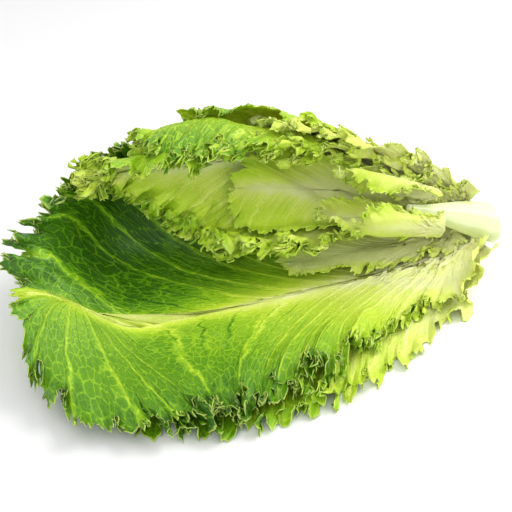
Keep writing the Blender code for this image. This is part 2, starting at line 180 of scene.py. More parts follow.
# The leaves, from the outermost to the innermost
leafPieces = (
    {
        "piece": "underLeaf",
        "node": "leaf_under",
        "turn": 80,
        "front": 50,
        "back": 104,
        "start": 0.004,
        "length": 0.293,
        "seed": 0.3,
        "petiole": 42,
        "body": 0.0098,
        "edge": 0.012,
        "frontTip": 3.2,
        "backTip": 3.0,
        "widest": 0.55,
        "rib": 0.0020,
        "ruffles": 17,
        "samples": 1280,
        "ripeMost": 0.75,
        "ripeOut": 0.22,
    },
    {
        "piece": "backOuterLeaf",
        "node": "leaf_back_outer",
        "turn": 184,
        "front": 55,
        "back": 38,
        "start": 0.007,
        "length": 0.184,
        "seed": 1.1,
        "petiole": 24,
        "widest": 0.56,
        "ruffles": 14,
        "samples": 1280,
        "ripeFrom": 0.2,
        "ripeSpan": 0.7,
        "ripeMost": 0.62,
        "ripeOut": 0.16,
        "puckerHeight": 0.0014,
        "netPale": 0.28,
    },
    {
        "piece": "backBaseLeaf",
        "node": "leaf_back_base",
        "turn": 210,
        "front": 32,
        "back": 36,
        "start": 0.010,
        "length": 0.130,
        "seed": 5.9,
        "edge": 0.017,
        "petiole": 28,
        "clasp": 30,
        "ruffles": 12,
        "samples": 1024,
        "ripeMost": 0.15,
        "ripeOut": 0.14,
        "curl": (0.0220, 0.0095, 0.0260, 0.6),
        "lobeDepth": 0.006,
        "lobePitch": 0.018,
    },
    {
        **frontOutline,
        "piece": "frontLeaf",
        "node": "leaf_front",
        "start": 0.013,
        "length": 0.290,
        "seed": 2.4,
        "edge": 0.019,
        "body": 0.008,
        "petiole": 32,
        "clasp": 34,
        "ruffles": 24,
        "folds": 5,
        "crease": 0.8,
        "creaseTurn": 88.0,
        "samples": 2816,
        "ripeSpan": 0.62,
        "ripeMost": 0.74,
        "lobeDepth": 0.01,
        "lobePitch": 0.027,
        # painted shade: its back side is drawn darker green where the leaves above it shade it, on top of
        # its own deeper green
        "backGreenAndShade": 0.25,
        "frill": 0.5,
        "calmTip": 0.55,
        # painted highlight: its tip is drawn paler where light catches the ridge
        "tipPaintedHighlight": -0.06,
        "puckerHeight": 0.0013,
        "ripeFront": 0.05,
    },
    {
        "piece": "backUpperLeaf",
        "node": "leaf_back_upper",
        "turn": 200,
        "front": 50,
        "back": 36,
        "start": 0.017,
        "length": 0.200,
        "seed": 3.7,
        "edge": 0.020,
        "rib": 0.0026,
        "ruffles": 18,
        "widest": 0.55,
        "petiole": 24,
        "frontTip": 1.8,
        "backTip": 1.8,
        "samples": 1536,
        "ripeMost": 0.62,
        "ripeFrom": 0.2,
        "puckerHeight": 0.0022,
        "curl": (0.0240, 0.0100, 0.0280, 0.6),
        "lobeDepth": 0.0045,
        "netPale": 0.32,
    },
    {
        "piece": "innerFrontLeaf",
        "node": "leaf_inner_front",
        "turn": 106,
        "front": 28,
        "back": 24,
        "start": 0.021,
        "length": 0.116,
        "seed": 6.6,
        "edge": 0.012,
        "petiole": 26,
        "ruffles": 11,
        "samples": 768,
        "ripeMost": 0.12,
        "ripeOut": 0.25,
        "frill": 0.7,
        "curl": (0.0200, 0.0045, 0.0160, 0.5),
    },
    {
        # the room that the open front leaf leaves over itself
        **frontOutline,
        "piece": "opening",
        "node": "",
        "start": 0.030,
        "length": 0.273,
        "seed": 0.0,
        "body": 0.012,
        "edge": 0.012,
        "fadeFrom": 0.30,
        "fadeRun": 1.00,
        "solid": False,
    },
    {
        "piece": "innerLowLeaf",
        "node": "leaf_inner_low",
        "turn": 187,
        "front": 104,
        "back": 34,
        "start": 0.025,
        "length": 0.233,
        "seed": 4.2,
        "body": 0.0066,
        "edge": 0.021,
        "rib": 0.0020,
        "widest": 0.5,
        "frontTip": 0.85,
        "backTip": 1.5,
        "ruffles": 19,
        "samples": 2816,
        "ripeMost": 0.36,
        "ripeOut": 0.28,
        "curl": (0.0260, 0.0100, 0.0300, 0.65),
        "crimp": (0.0190, 0.0030, 0.0130, 0.35),
        "lobeDepth": 0.0045,
        "lobePitch": 0.017,
        "puckerHeight": 0.0012,
    },
    {
        "piece": "innerBackLeaf",
        "node": "leaf_inner_back",
        "turn": 166,
        "front": 52,
        "back": 34,
        "start": 0.030,
        "length": 0.132,
        "seed": 7.3,
        "body": 0.0068,
        "edge": 0.008,
        "rib": 0.0028,
        "ruffles": 11,
        "samples": 896,
        "ripeMost": 0.42,
        "ripeOut": 0.15,
        "frill": 0.5,
        "curl": (0.0250, 0.0030, 0.0150, 0.4),
        "crimp": (0.0120, 0.0018, 0.0080, 0.3),
    },
    {
        **heartLeaf,
        "piece": "heartLowLeaf",
        "node": "leaf_heart_low",
        "turn": 125,
        "start": 0.035,
        "length": 0.082,
        "seed": 8.8,
    },
    {
        **heartLeaf,
        "piece": "heartTopLeaf",
        "node": "leaf_heart_top",
        "turn": 245,
        "start": 0.039,
        "length": 0.066,
        "seed": 9.1,
    },
    {
        **heartLeaf,
        "piece": "heartFrontLeaf",
        "node": "leaf_heart_front",
        "turn": 15,
        "start": 0.043,
        "length": 0.060,
        "seed": 10.4,
        "ruffles": 8,
    },
)
leafRows = [{**commonLeaf, **piece} for piece in leafPieces]

# The head's origin in the frame, read from the stem's box
stemLow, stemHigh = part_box("stem")
headShift = np.array([stemHigh[0] - headPlan["cutX"], (stemLow[1] + stemHigh[1]) / 2, 0.0])


def ease(value):
    value = np.clip(value, 0.0, 1.0)
    return value * value * (3.0 - 2.0 * value)


def through(knots, at):
    # the smooth curve through knots of (place, value)
    places, values = np.array(knots, float).T
    slopes = np.gradient(values, places)
    low = np.clip(np.searchsorted(places, at) - 1, 0, len(places) - 2)
    step = places[low + 1] - places[low]
    u = np.clip((at - places[low]) / step, 0.0, 1.0)
    return (
        values[low] * (1 + 2 * u) * (1 - u) ** 2
        + values[low + 1] * u * u * (3 - 2 * u)
        + step * slopes[low] * u * (1 - u) ** 2
        - step * slopes[low + 1] * u * u * (1 - u)
    )


def coreHeight(station):
    share = np.clip(station / headPlan["openStation"], 0.0, 1.0)
    rise = headPlan["coreHeightOpen"] - headPlan["coreHeightAtCut"]
    return headPlan["coreHeightAtCut"] + rise * (1 - (1 - share) ** headPlan["coreBend"])


def stemRadius(station):
    share = np.clip(station / headPlan["stemLength"], 0.0, 1.0)
    taper = headPlan["stemTipRadius"] - headPlan["stemRadius"]
    return headPlan["stemRadius"] + taper * ease(share) ** headPlan["stemTaper"]


def outerReach(station, turn):
    # reach of the head's outer skin, which rests on the floor below it
    around = np.mod(turn + 60, 360) - 60
    closed = headPlan["reachAtCut"] + headPlan["reachGrowth"] * station
    opened = through(headPlan["openReach"], around)
    fromFront = (around - headPlan["frontTurn"]) / headPlan["frontSpread"]
    run = headPlan["openingRun"] - headPlan["frontOpening"] * np.exp(-(fromFront**2))
    free = closed + (opened - closed) * ease(station / run)
    down = np.maximum(np.sin(np.radians(turn)), 0.02)
    floor = coreHeight(station) / down + headPlan["pressDepth"] * down**2
    sharp = headPlan["floorSharpness"]
    reach = (free**-sharp + floor**-sharp) ** (-1 / sharp)
    tips = np.array(headPlan["endReach"])
    ended = through(tips[:, [0, 1]], around)
    ending = ease((station - through(tips[:, [0, 2]], around)) / headPlan["endRun"] + 1.0)
    return reach + (np.minimum(ended, reach) - reach) * ending


def outlineShare(row, along, half, squareness):
    # half width of one side's outline, with 1 at its widest
    base = row["petiole"] / half
    grown = base + (1 - base) * ease(along / row["widest"]) ** 1.1
    grown = grown + row["clasp"] / half * (1 - ease(along / 0.20))
    past = np.clip((along - row["widest"]) / (1 - row["widest"]), 0.0, 1.0)
    rounded = (1 - past**squareness) ** (1 / squareness)
    return np.where(along < row["widest"], grown, rounded)


def sideOf(row, turn):
    offset = np.mod(turn - row["turn"] + 180, 360) - 180
    half = np.where(offset < 0, row["front"], row["back"])
    squareness = np.where(offset < 0, row["frontTip"], row["backTip"])
    return np.abs(offset), half, squareness


def spreadOf(row, station, turn):
    # 0 on the leaf's midrib, 1 at its margin and more outside
    along = (station - row["start"]) / row["length"]
    offset, half, n = sideOf(row, turn)
    across = offset / half
    past = np.maximum((along - row["widest"]) / (1 - row["widest"]), 0.0)
    side = across / outlineShare(row, np.clip(along, 0.0, row["widest"] - 1e-6), half, n)
    return np.where(along < row["widest"], side, (across**n + past**n) ** (1 / n))


def presenceOf(row, station, turn, away, skin):
    # 1 where a leaf is, falling to 0 a little way outside its margin
    fade = np.clip(headPlan["fadeRoom"] / skin, *headPlan["fadeLimits"]) / np.radians(sideOf(row, turn)[1])
    there = 1 - ease((away - row["fadeFrom"]) / np.maximum(fade, row["fadeRun"]))
    return there * ease((station - row["start"] + headPlan["baseRoom"]) / headPlan["baseRun"])


def layerSpan(number, station, turn):
    # outer reach of a leaf's layer and the layer's depth, once all of them share the room
    skin = outerReach(station, turn)
    inStem = station < headPlan["stemLength"]
    room = skin - stemRadius(station) * inStem - headPlan["leastGap"]
    total, before, hearts, own, cover = 0.0, 0.0, 0.0, 0.0, 0.0
    for place in reversed(range(len(leafRows))):
        row = leafRows[place]
        away = spreadOf(row, station, turn)
        there = presenceOf(row, station, turn, away, skin)
        grown = ease((station - row["start"]) / row["length"] / headPlan["growRun"])
        flare = ease((away - headPlan["flareFrom"]) / headPlan["flareRun"])
        flare = flare * (1 - headPlan["pressed"] * cover)
        depth = row["body"] + (row["edge"] - row["body"]) * flare
        depth = there * (headPlan["slabAtBase"] + (depth - headPlan["slabAtBase"]) * grown)
        cover = np.maximum(cover, there * row["solid"])
        total = total + depth
        if place < number:
            before = before + depth
            hearts = hearts + depth * row["heart"]
        if place == number:
            own = depth
    share = np.minimum(1.0, room / np.maximum(total, 1e-6))
    outer = skin - share * before
    if leafRows[number]["heart"]:
        inner = headPlan["heartReach"] + headPlan["heartGrowth"] * station
        outer = np.minimum(outer, inner - share * hearts)
    return outer, share * own


def ruffleWaves(row, margin):
    turn = 2 * math.pi
    seed = row["seed"]
    drift = 0.42 * np.sin(turn * (2.3 * margin + seed))
    drift = drift + 0.20 * np.sin(turn * (5.1 * margin + 2.7 * seed))
    phase = turn * (row["ruffles"] * margin + drift + 1.7 * seed)
    strength = 0.78 + 0.22 * np.sin(turn * (3.7 * margin + 0.6 * seed))
    ends = ease(np.minimum(margin, 1 - margin) / 0.10)
    fold = np.sin(turn * (row["folds"] * margin + 0.9 * seed))
    return strength * ends * np.sin(phase), fold * ends, phase


def marginPath(row, half, squareness):
    # one side's margin from base to tip: share of its length, along, across
    along = 0.5 * (1 - np.cos(math.pi * np.linspace(0.0, 1.0, 400)))
    across = outlineShare(row, along, half, squareness)
    width = math.radians(half) * headPlan["meanReach"]
    steps = np.hypot(np.diff(along) * row["length"], np.diff(across) * width)
    length = np.concatenate([[0.0], np.cumsum(steps)])
    return length / length[-1], along, across


def bladeSurface(number, margin, out, ribPlace):
    # the leaf's middle surface: margin runs round its edge, out goes from midrib to edge
    row = leafRows[number]
    ruffle, fold, phase = ruffleWaves(row, margin)
    swing = headPlan["ruffleSwing"] * np.sin(2 * phase) / row["ruffles"] * out**3
    moved = np.clip(margin + swing * ease(np.minimum(margin, 1 - margin) / 0.08), 0.0, 1.0)
    gone = np.minimum(moved, 1 - moved) * 2
    still = np.minimum(ribPlace, 1 - ribPlace) * 2
    atFront = margin < 0.5
    sides = [marginPath(row, row[side], row[side + "Tip"]) for side in ("front", "back")]
    edgeAlong, edgeAcross, ribAlong = (
        np.where(atFront, *(np.interp(place, side[0], side[column]) for side in sides))
        for place, column in ((gone, 1), (gone, 2), (still, 1))
    )
    ribAlong = headPlan["ribEnd"] * ribAlong ** row["fanPower"]
    scallop = 1 + headPlan["scallop"] * np.sin(2.0 * phase + 1.0) * out**4 * ease(still / 0.15)
    along = ribAlong + (edgeAlong - ribAlong) * out * scallop
    across = edgeAcross * out ** row["fanBend"] * scallop
    sign = np.where(atFront, -1.0, 1.0)
    station = row["start"] + row["length"] * along
    half = np.where(atFront, row["front"], row["back"])
    turn = row["turn"] + sign * half * across
    outer, depth = layerSpan(number, station, turn)
    crease = row["crease"] * np.exp(-(((turn - row["creaseTurn"]) / headPlan["creaseSpread"]) ** 2))
    crease = crease * ease((along - 0.55) / 0.3)
    ruffle = ruffle * row["frill"] * out ** headPlan["ruffleDrop"]
    bend = np.clip(ruffle + headPlan["foldShare"] * fold * out**1.4 - crease, -1.0, 1.0)
    reach = outer - depth * (0.5 + headPlan["frillShare"] * bend)
    angle = np.radians(turn)
    height = coreHeight(station) - reach * np.sin(angle)
    points = np.stack([headPlan["cutX"] - station, -reach * np.cos(angle), height], axis=-1)
    fromRib = np.radians(np.abs(turn - row["turn"])) * reach
    ribWidth = headPlan["ribHalfWidth"] * (1 - 0.75 * ease(along / 0.7))
    rib = row["rib"] * (1 - ease(along / 0.8)) * np.exp(-((fromRib / ribWidth) ** 2))
    thick = np.minimum(row["bladeThickness"] + rib, np.maximum(0.6 * depth, 0.0005))
    return points + headShift, thick, along, sign * fromRib, depth


def wander(at, seed, waves):
    # a smooth random line between -1 and 1, as a few sines of growing frequency
    total = 0.0
    for number in range(4):
        rate = waves * (0.37 + 0.41 * number)
        start = seed * (1.9 + 1.3 * number)
        total = total + np.sin(2 * math.pi * (rate * at + start)) / (1 + 0.5 * number)
    return total / 2.3


# How margins are cut and waved
marginForm = {
    "lobeZone": 3.2,  # how far in the lobes start, in lobe depths
    "toothZone": 2.6,  # the same for the teeth
    "lobeShare": 0.70,
    "toothShare": 0.80,
    "leastGrowth": 0.10,
    "unevenPitch": 0.55,
    "meanHeight": 0.66,
    "unevenHeight": 0.34,
    "waveFade": 1.8,
    "drawnIn": 0.35,  # how far a wave draws the margin in, as a share of its height
    "fullRoom": 0.012,  # depth of layer in which a frill has its full height
    "leastRoom": 0.15,
    "endRun": 0.05,
    "tipSpread": 0.13,
    "smoothShare": 0.30,  # how far the mesh's steps follow the smooth margin
    "frilledShare": 0.70,  # the same for the frilled one
    "roughSteps": 3001,
}


def unit(vectors):
    return vectors / np.maximum(np.linalg.norm(vectors, axis=-1, keepdims=True), 1e-12)


def lengthAlong(points):
    # length run along a curve up to each of its points
    steps = np.linalg.norm(np.diff(points, axis=0), axis=1)
    return np.concatenate([[0.0], np.cumsum(steps)])


def distanceToEdge(points):
    lengths = np.linalg.norm(np.diff(points, axis=1), axis=2)
    inward = np.cumsum(lengths[:, ::-1], axis=1)[:, ::-1]
    return np.concatenate([inward, np.zeros_like(inward[:, :1])], axis=1)


def marginWave(row, way, pitch, shift):
    # phase of an uneven wave along the margin, and its uneven strength from about 0 to 1
    seed = row["seed"] + shift
    count = way / pitch
    phase = 2 * math.pi * (count + marginForm["unevenPitch"] * wander(count, seed, 0.23) + seed)
    uneven = marginForm["unevenHeight"] * wander(count, seed + 3.3, 0.31)
    return phase, marginForm["meanHeight"] + uneven


def cutMargin(row, points, toEdge, smoothWay, frilledWay):
    # rounded lobes with narrow notches, and pointed teeth on them
    lobePhase, lobeSize = marginWave(row, smoothWay, row["lobePitch"], 0.17)
    toothPhase, toothSize = marginWave(row, frilledWay, row["toothPitch"], 0.71)
    lobe = (1.6 * np.abs(np.sin(lobePhase / 2)) - 1.0) * lobeSize
    tooth = (1.0 - 1.9 * np.abs(np.sin(toothPhase / 2)) ** 0.8) * toothSize
    lobeZone = ease(1 - toEdge / (marginForm["lobeZone"] * row["lobeDepth"]))
    toothZone = ease(1 - toEdge / (marginForm["toothZone"] * row["toothDepth"]))
    growth = 1 + marginForm["lobeShare"] * lobe[:, None] * lobeZone
    growth = growth + marginForm["toothShare"] * tooth[:, None] * toothZone
    steps = np.diff(points, axis=1) * np.maximum(growth[:, 1:], marginForm["leastGrowth"])[..., None]
    return np.concatenate([points[:, :1], points[:, :1] + np.cumsum(steps, axis=1)], axis=1)


def wavedMargin(row, points, toEdge, room, size, way, shift):
    # waves along the margin, with broad crests that overhang their narrow necks
    pitch, height, zone, overhang = size
    phase, strength = marginWave(row, way, pitch, shift)
    along = unit(np.gradient(points, axis=0))
    outward = unit(np.gradient(points, axis=1))
    normal = unit(np.cross(along, outward))
    rise = height * strength[:, None] * room * np.clip(1 - toEdge / zone, 0.0, 1.0) ** marginForm["waveFade"]
    phase = phase[:, None]
    moved = points + normal * (rise * np.sin(phase))[..., None]
    moved = moved - along * (overhang * rise * np.sin(2 * phase))[..., None]
    return moved - outward * (marginForm["drawnIn"] * rise * np.sin(phase) ** 2)[..., None]


def frilledMargin(row, points, toEdge, room, ways):
    # the three sizes of waves, each along the margin as the one before it left it;
    # ways holds the margin's lengths if they are known, and the lengths found are returned too
    found = []
    for place, name in enumerate(("curl", "crimp", "crisp")):
        found.append(lengthAlong(points[:, -1]))
        way = ways[place] if ways else found[-1]
        points = wavedMargin(row, points, toEdge, room, row[name], way, 1.7 * place)
    return points, found + [lengthAlong(points[:, -1])]


def roomForFrill(row, margin, depth):
    # share of the frill's full height that the layer's depth and the leaf's ends leave it
    ends = ease(np.minimum(margin, 1 - margin) / marginForm["endRun"])
    calm = 1 - row["calmTip"] * np.exp(-(((margin - 0.5) / marginForm["tipSpread"]) ** 2))
    return np.clip(depth / marginForm["fullRoom"], marginForm["leastRoom"], 1.0) * ends * calm


def evenMargin(number, outs):
    # places round the margin that spread its waves evenly, theirs on the midrib, and its lengths there
    row = leafRows[number]
    rough = np.linspace(0.0, 1.0, marginForm["roughSteps"])
    margin, out = np.meshgrid(rough, outs[outs > 0.6], indexing="ij")
    points, thick, along, across, depth = bladeSurface(number, margin, out, margin)
    toEdge = distanceToEdge(points)
    ways = frilledMargin(row, points, toEdge, roomForFrill(row, margin, depth), None)[1]
    mixed = marginForm["smoothShare"] * ways[0] / ways[0][-1]
    mixed = mixed + marginForm["frilledShare"] * ways[-1] / ways[-1][-1]
    places = np.interp(np.linspace(0.0, 1.0, row["samples"] + 1), mixed, rough)
    ways = [np.interp(places, rough, way) for way in ways]
    return places, (places + 1 - places[::-1]) / 2, ways


def placed(name, data):
    # a new object, linked to the scene
    made = bpy.data.objects.new(name, data)
    bpy.context.scene.collection.objects.link(made)
    return made


# Rings of a sheet's mesh: from and to which share out, how many, and the margin's steps to one of theirs
sheetRings = ((0.0, 0.26, 7, 8), (0.30, 0.62, 8, 4), (0.66, 0.79, 4, 2))
frillRings = {"count": 12, "depth": 0.18, "crowding": 1.4}
planScale = 3.0


def ringsOf(row):
    # rings from the midrib out, and how many steps each has along the margin
    full = row["samples"]
    rings = []
    for start, end, count, coarser in sheetRings:
        rings += [(out, full // coarser) for out in np.linspace(start, end, count)]
    for share in np.linspace(0.0, 1.0, frillRings["count"]):
        rings.append((1.0 - frillRings["depth"] * (1 - share) ** frillRings["crowding"], full))
    return rings


def greenAndPaintedLight(row, along, across, out):
    # how green the leaf is: pale at its base and midrib, greener towards its margin and tip, with painted
    # shade darkening one side and a painted highlight paling the tip where a leaf's values ask for them
    greenWithPaintedLight = row["ripeMost"] * ease((along - row["ripeFrom"]) / row["ripeSpan"])
    greenWithPaintedLight = greenWithPaintedLight + row["ripeOut"] * out**1.6 * ease((along + 0.25) / 0.5)
    # partly painted shade: extra green on the back side stands in for the shade of the leaves over it
    side = np.where(across > 0, row["backGreenAndShade"], row["ripeFront"])
    greenWithPaintedLight = greenWithPaintedLight + side * ease((out - 0.10) / 0.3) * ease((along - 0.05) / 0.3)
    # painted highlight: a negative value pales the tip
    greenWithPaintedLight = greenWithPaintedLight + row["tipPaintedHighlight"] * ease((along - 0.72) / 0.2)
    return greenWithPaintedLight * (1 - row["ribPale"] * np.exp(-((across / row["ribWide"]) ** 2)))


def ringNumbers(rings):
    # the numbers of each ring's points, and which samples they are; both sides share the midrib's
    full = rings[-1][1]
    numbers, kept = [], []
    count = 0
    for place, (out, steps) in enumerate(rings):
        samples = np.arange(0, full + 1, full // steps)
        if place == 0:
            half = np.arange(steps // 2 + 1)
            numbers.append(np.concatenate([half, half[-2::-1]]))
            samples = samples[: len(half)]
        else:
            numbers.append(count + np.arange(steps + 1))
        kept.append((place, samples))
        count += len(samples)
    return numbers, kept


def sheetFaces(numbers):
    # quads between rings of as many steps, and three triangles a step where the next has twice as many
    faces = []
    for inner, outer in zip(numbers, numbers[1:]):
        ratio = (len(outer) - 1) // (len(inner) - 1)
        for step in range(len(inner) - 1):
            far = outer[step * ratio : (step + 1) * ratio + 1]
            if ratio == 1:
                faces.append((inner[step], far[0], far[1], inner[step + 1]))
            else:
                faces.append((inner[step], far[0], far[1]))
                faces.append((inner[step], far[1], inner[step + 1]))
                faces.append((inner[step + 1], far[1], far[2]))
    faces = [tuple(int(corner) for corner in dict.fromkeys(face)) for face in faces]
    return [face for face in faces if len(face) > 2]


def leafSheet(number):
    # an open mesh of the leaf's middle surface, with what its relief and finish read
    row = leafRows[number]
    rings = ringsOf(row)
    outs = np.array([out for out, steps in rings])
    places, ribPlaces, ways = evenMargin(number, outs)
    fan, out = np.meshgrid(np.linspace(0.0, 1.0, row["samples"] + 1), outs, indexing="ij")
    margin = np.broadcast_to(places[:, None], out.shape)
    ribPlace = np.broadcast_to(ribPlaces[:, None], out.shape)
    points, thick, along, across, depth = bladeSurface(number, margin, out, ribPlace)
    toEdge = distanceToEdge(points)
    points = cutMargin(row, points, toEdge, ways[0], ways[-1])
    points = frilledMargin(row, points, toEdge, roomForFrill(row, margin, depth), ways)[0]
    points[..., 2] = np.maximum(points[..., 2], row["floorGap"] + 0.5 * thick)
    numbers, kept = ringNumbers(rings)

    def flat(values):
        return np.concatenate([values[samples, place] for place, samples in kept])

    mesh = bpy.data.meshes.new(row["piece"])
    mesh.from_pydata(flat(points).tolist(), [], sheetFaces(numbers))
    fields = {
        "fan": fan,
        "out": out,
        "toEdge": toEdge,
        "thick": thick,
        "greenWithPaintedLight": greenAndPaintedLight(row, along, across, out),
    }
    for name, values in fields.items():
        layer = mesh.attributes.new(name, "FLOAT", "POINT")
        layer.data.foreach_set("value", flat(values).astype(np.float32))
    addPlan(mesh, flat(across), flat(along) * row["length"])
    return mesh


def addPlan(mesh, across, along):
    # a UV map of the blade laid flat, from its lengths across and along
    plan = mesh.uv_layers.new(name="leafPlan")
    corners = np.empty(len(mesh.loops), np.int32)
    mesh.loops.foreach_get("vertex_index", corners)
    places = np.stack([across[corners] * planScale + 0.5, along[corners] * planScale], axis=1)
    plan.data.foreach_set("uv", places.astype(np.float32).ravel())


class NodeWriter:
    # adds nodes to a tree from left to right, and links them
    def __init__(self, tree):
        self.tree = tree
        self.column = 0

    def put(self, value, socket):
        # links another node's output to the socket, or sets a plain value on it
        if isinstance(value, bpy.types.NodeSocket):
            self.tree.links.new(value, socket)
        else:
            socket.default_value = value

    def node(self, kind, inputs=None, **settings):
        made = self.tree.nodes.new(kind)
        made.location = (self.column * 180, -(self.column % 4) * 160)
        self.column += 1
        for name, value in settings.items():
            setattr(made, name, value)
        for name, value in (inputs or {}).items():
            self.put(value, made.inputs[name])
        return made

    def math(self, operation, first, second=0.0, third=0.0, clamp=False):
        made = self.node("ShaderNodeMath", operation=operation, use_clamp=clamp)
        for value, socket in zip((first, second, third), made.inputs):
            self.put(value, socket)
        return made.outputs[0]

    def times(self, value, *others):
        for other in others:
            value = self.math("MULTIPLY", value, other)
        return value

    def mapped(self, value, start, end, low, high, smooth=True):
        # low up to start, high from end on, and a smooth or straight way between them
        made = self.node("ShaderNodeMapRange", interpolation_type="SMOOTHSTEP" if smooth else "LINEAR")
        for socket, number in zip(made.inputs, (value, start, end, low, high)):
            self.put(number, socket)
        return made.outputs[0]


def addSockets(tree, way, names, kind="Float"):
    for name in names:
        tree.interface.new_socket(name, in_out=way, socket_type="NodeSocket" + kind)


# Relief and thickness of a blade
bladeRelief = {
    "puckerLevel": 0.55,  # distance from a cell's middle at which a pucker is level with the blade
    "puckersFrom": 0.18,
    "puckersTo": 0.60,
    "grooveWidth": 0.16,
    "calmEdge": (0.004, 0.030),  # where grooves fade out towards the margin
}


def bladeTree():
    # puckers and veins raise and sink the sheet, then it gets its thickness
    tree = bpy.data.node_groups.new("leafBlade", "GeometryNodeTree")
    addSockets(tree, "INPUT", ("Sheet",), "Geometry")
    addSockets(tree, "INPUT", ("Pucker Height", "Vein Depth", "Laterals", "Net Across", "Net Out", "Seed"))
    addSockets(tree, "INPUT", ("Finish",), "Material")
    addSockets(tree, "OUTPUT", ("Blade",), "Geometry")
    add = NodeWriter(tree)
    given = add.node("NodeGroupInput").outputs

    def attribute(name):
        return add.node("GeometryNodeInputNamedAttribute", {"Name": name}, data_type="FLOAT").outputs[0]

    fan, out, thick, toEdge = (attribute(name) for name in ("fan", "out", "thick", "toEdge"))
    across = add.times(fan, given["Net Across"])
    outward = add.times(out, given["Net Out"])
    plan = add.node("ShaderNodeCombineXYZ", {"X": across, "Y": outward, "Z": given["Seed"]})
    cells = add.node("ShaderNodeTexVoronoi", {"Vector": plan.outputs[0], "Scale": 1.0}, feature="SMOOTH_F1")
    swell = add.math("SUBTRACT", bladeRelief["puckerLevel"], cells.outputs["Distance"])
    grown = add.mapped(out, bladeRelief["puckersFrom"], bladeRelief["puckersTo"], 0.0, 1.0)
    swell = add.times(swell, grown, given["Pucker Height"])
    ridge = add.math("PINGPONG", add.times(fan, given["Laterals"]), 0.5)
    groove = add.mapped(ridge, 0.0, bladeRelief["grooveWidth"], 1.0, 0.0)
    calm = add.mapped(toEdge, *bladeRelief["calmEdge"], 0.0, 1.0, smooth=False)
    groove = add.times(groove, given["Vein Depth"], calm)
    height = add.math("SUBTRACT", swell, groove)
    normal = add.node("GeometryNodeInputNormal").outputs[0]
    lift = add.node("ShaderNodeVectorMath", {0: normal, "Scale": height}, operation="SCALE")
    raised = add.node("GeometryNodeSetPosition", {"Geometry": given["Sheet"], "Offset": lift.outputs[0]})
    half = add.times(thick, -0.5)
    sink = add.node("ShaderNodeVectorMath", {0: normal, "Scale": half}, operation="SCALE")
    lowered = add.node("GeometryNodeSetPosition", {"Geometry": raised.outputs[0], "Offset": sink.outputs[0]})
    walls = add.node(
        "GeometryNodeExtrudeMesh",
        {"Mesh": lowered.outputs[0], "Offset Scale": thick, "Individual": False},
        mode="FACES",
    )
    backs = add.node("GeometryNodeFlipFaces", {"Mesh": lowered.outputs[0]})
    backMark = add.node(
        "GeometryNodeStoreNamedAttribute",
        {"Geometry": backs.outputs[0], "Name": "backFace", "Value": 1.0},
        data_type="FLOAT",
        domain="FACE",
    )
    joined = add.node("GeometryNodeJoinGeometry")
    add.put(walls.outputs["Mesh"], joined.inputs[0])
    add.put(backMark.outputs[0], joined.inputs[0])
    closed = add.node("GeometryNodeMergeByDistance", {"Geometry": joined.outputs[0], "Distance": 1e-7})
    smooth = add.node("GeometryNodeSetShadeSmooth", {"Geometry": closed.outputs[0]})
    real = add.node("GeometryNodeRealizeInstances", {"Geometry": smooth.outputs[0]})
    values = {"Geometry": real.outputs[0], "Material": given["Finish"]}
    finished = add.node("GeometryNodeSetMaterial", values)
    last = add.node("NodeGroupOutput")
    add.put(finished.outputs[0], last.inputs[0])
    return tree


def settledMesh(piece):
    # the piece's evaluated shape as a plain mesh, with its modifiers gone
    graph = bpy.context.evaluated_depsgraph_get()
    shape = bpy.data.meshes.new_from_object(
        piece.evaluated_get(graph), preserve_all_data_layers=True, depsgraph=graph
    )
    piece.modifiers.clear()
    piece.data = shape
    shape.name = piece.name


def setInputs(modifier, values):
    names = {item.name: item.identifier for item in modifier.node_group.interface.items_tree}
    for name, value in values.items():
        modifier[names[name]] = value


# Finish of the leaves, with shares from 0 to 1 and heights in shares of the bump's depth
leafLook = {
    # from the palest green to the darkest
    "tones": (
        (0.00, (0.92, 0.95, 0.44)),
        (0.14, (0.80, 0.91, 0.17)),
        (0.34, (0.57, 0.78, 0.040)),
        (0.58, (0.29, 0.54, 0.012)),
        (0.80, (0.11, 0.30, 0.004)),
        (1.00, (0.03, 0.120, 0.002)),
    ),
    "uneven": 0.272,
    "unevenScale": 55.0,
    "lateralPale": 0.26,
    "finePale": 0.08,
    "furrowDark": 0.26,  # how much darker the furrows are near the midrib
    "backPale": 0.10,
    "rim": (0.66, 0.82, 0.16),
    "rimShare": 0.60,
    "rimWidth": 0.0010,
    "dropletScale": 620.0,
    "patchScale": 42.0,
    "skinScale": 240.0,
    "roughness": (0.30, 0.58),
    "dropShine": 0.35,
    "dropHeight": 1.8,
    "skinHeight": 0.9,
    "sunk": (("Net", 0.8), ("Fine Net", 0.35), ("Furrow", 0.30)),
    "bumpStrength": 0.55,
    "bumpDepth": 0.0004,
    "specular": 0.45,
    "subsurface": 0.12,
    "subsurfaceRadius": (0.8, 1.0, 0.15),
    "subsurfaceScale": 0.005,
}


def newGroup(name, inputs, outputs):
    # an empty shader group, the writer of its nodes and what it is given
    tree = bpy.data.node_groups.new(name, "ShaderNodeTree")
    addSockets(tree, "INPUT", inputs)
    addSockets(tree, "OUTPUT", outputs)
    add = NodeWriter(tree)
    return tree, add, add.node("NodeGroupInput").outputs


